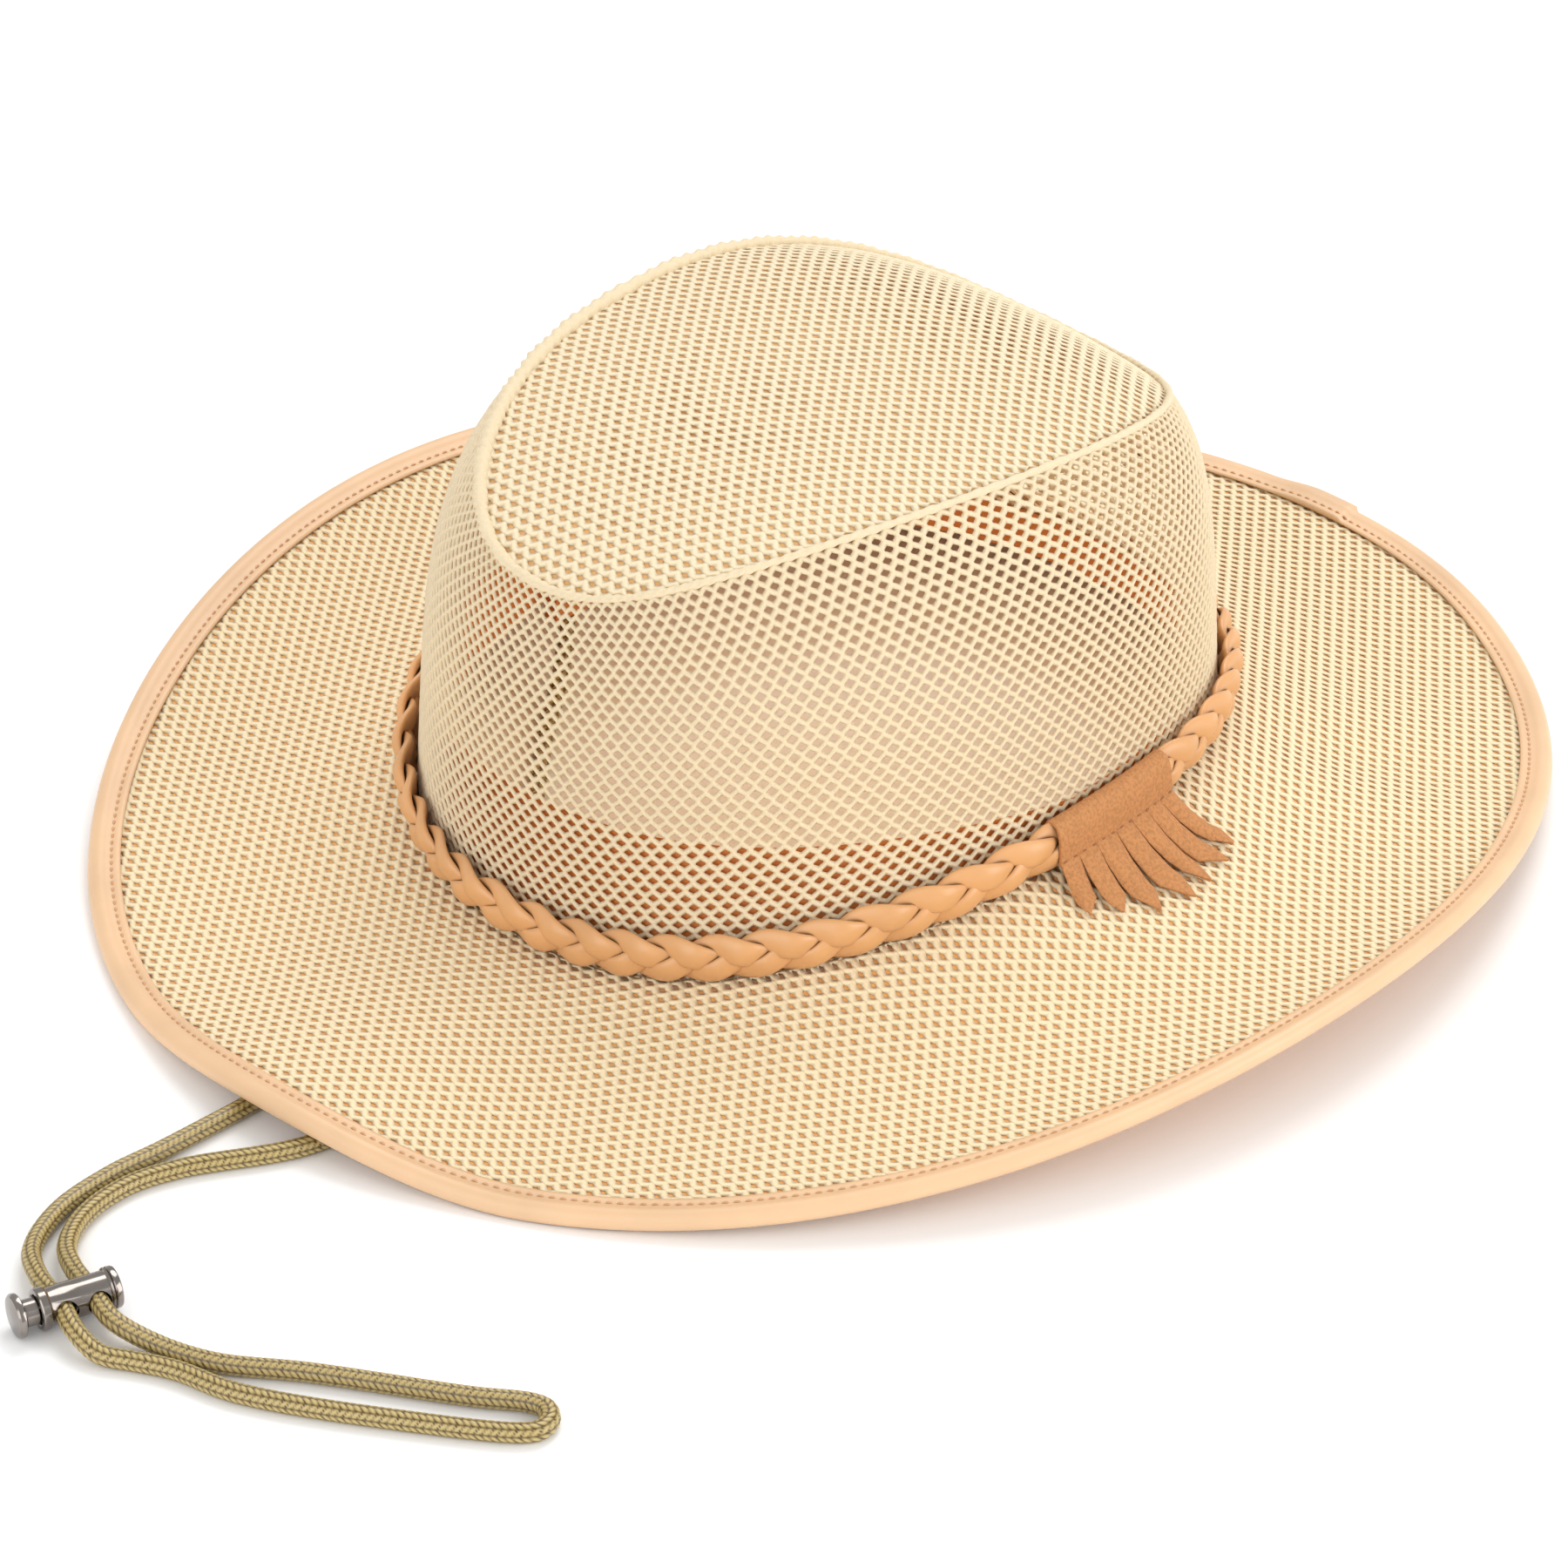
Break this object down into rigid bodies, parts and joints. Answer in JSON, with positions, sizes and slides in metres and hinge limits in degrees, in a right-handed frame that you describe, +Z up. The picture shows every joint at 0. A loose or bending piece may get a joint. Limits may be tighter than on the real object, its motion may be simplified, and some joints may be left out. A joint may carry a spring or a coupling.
{
  "type": "mesh sun hat with braided hatband and chin cord",
  "caption": "Wide-brimmed mesh sun hat with a teardrop crown, leather-bound brim, plaited leather band with suede fringe, and a chin cord with a sprung cord lock.",
  "frame": {"origin": "on the ground under the middle of the brim", "axes": "+Z up, -Y to the front of the hat, +X to the wearer's left"},
  "size_m": [0.3275, 0.4594, 0.1218],
  "materials": {
    "crown_mesh": "open knitted mesh, cream yarn",
    "brim_mesh": "dense two-layer mesh, cream over tan",
    "binding_leather": "smooth peach-tan leather with a stitch line",
    "braid_leather": "smooth tan leather thongs",
    "brown_leather": "matt brown leather",
    "suede": "brushed suede",
    "cord": "round braided cord, olive khaki",
    "gunmetal": "dark polished gunmetal"
  },
  "bodies": {
    "hat": {"crown_side": "crown_mesh", "crown_top": "crown_mesh", "sweatband": "brown_leather", "brim": "brim_mesh", "brim_binding": "binding_leather", "braid_strand_1": "braid_leather", "braid_strand_2": "braid_leather", "braid_strand_3": "braid_leather", "suede_fringe": "suede", "cord_anchor_left": "brown_leather", "cord_anchor_right": "brown_leather", "chin_cord": "cord", "cord_lock_barrel": "gunmetal"},
    "lock_plunger": {"cord_lock_plunger": "gunmetal"}
  },
  "joints": [
    {"name": "cord_lock_press", "type": "slide", "parent": "hat", "child": "lock_plunger", "axis": [0.2907, 0.9568, 0], "range_m": [0, 0.003], "stiffness_N_per_m": 400, "springref_m": -0.004}
  ]
}
